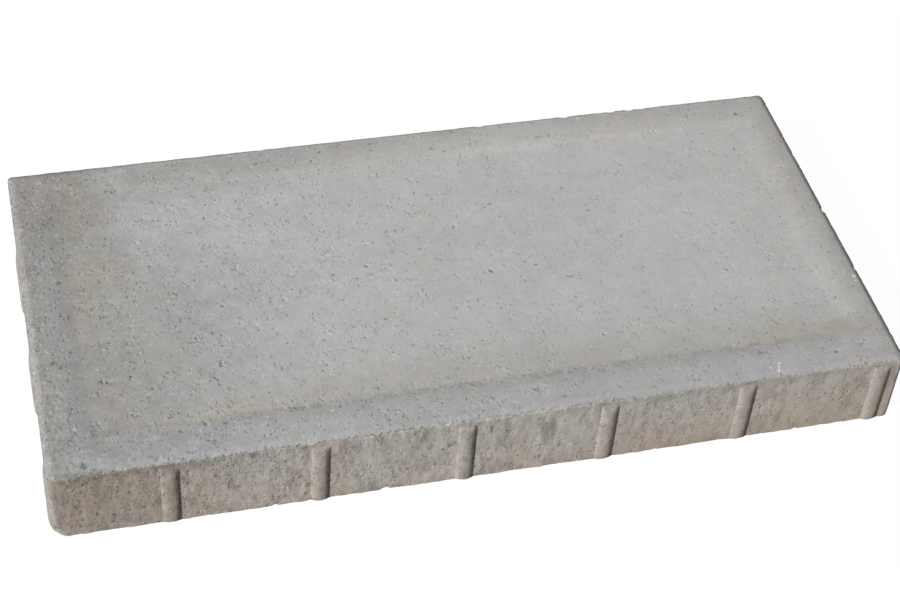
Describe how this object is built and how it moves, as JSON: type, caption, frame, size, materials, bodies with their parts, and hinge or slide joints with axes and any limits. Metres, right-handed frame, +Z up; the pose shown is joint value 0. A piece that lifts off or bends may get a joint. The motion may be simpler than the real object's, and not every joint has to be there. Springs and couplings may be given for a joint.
{
  "type": "concrete paving slab",
  "caption": "Rectangular pressed concrete paving slab with a bevelled top edge, a shallow dished wearing face and half-round spacer nibs on its sides.",
  "frame": {"origin": "centre of the bedding face, at the slab's underside", "axes": "+X along the length, +Y across the width, +Z up out of the wearing face"},
  "size_m": [0.6002, 0.3002, 0.062],
  "materials": {
    "concrete": "matte cast concrete, grey with a beige tide mark and fine pores"
  },
  "bodies": {
    "root": {"paving_slab": "concrete"}
  },
  "joints": []
}
